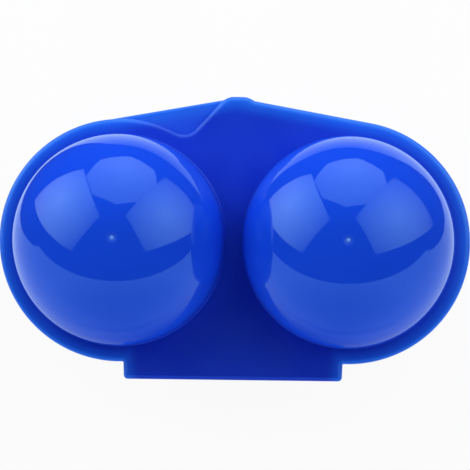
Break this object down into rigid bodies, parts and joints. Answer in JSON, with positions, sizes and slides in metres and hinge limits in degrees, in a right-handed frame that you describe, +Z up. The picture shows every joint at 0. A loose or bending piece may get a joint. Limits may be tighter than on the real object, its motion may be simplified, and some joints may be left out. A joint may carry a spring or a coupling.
{
  "type": "twin-cell clamshell carrier",
  "caption": "Glossy blue plastic clamshell with a pair of round domed cells side by side, a film hinge along one flange and a snap catch at the peak opposite.",
  "frame": {"origin": "on the surface that the closed case lies on, below the middle of its box", "axes": "+X along the two cells, +Y from the hinge flange to the catch, +Z up from the base's crowns to the lid's"},
  "size_m": [0.126, 0.0758, 0.07],
  "materials": {
    "shell": "polished injection-moulded polypropylene",
    "film": "thin flexed polypropylene, slightly paler than the shells"
  },
  "bodies": {
    "base": {"base_shell": "shell", "base_hinge_film": "film"},
    "lid": {"lid_shell": "shell", "lid_hinge_film": "film"}
  },
  "joints": [
    {"name": "lid_hinge", "type": "hinge", "parent": "base", "child": "lid", "pos_m": [0, -0.03794, 0.035], "axis": [1, 0, 0], "range_deg": [0, 180]}
  ]
}
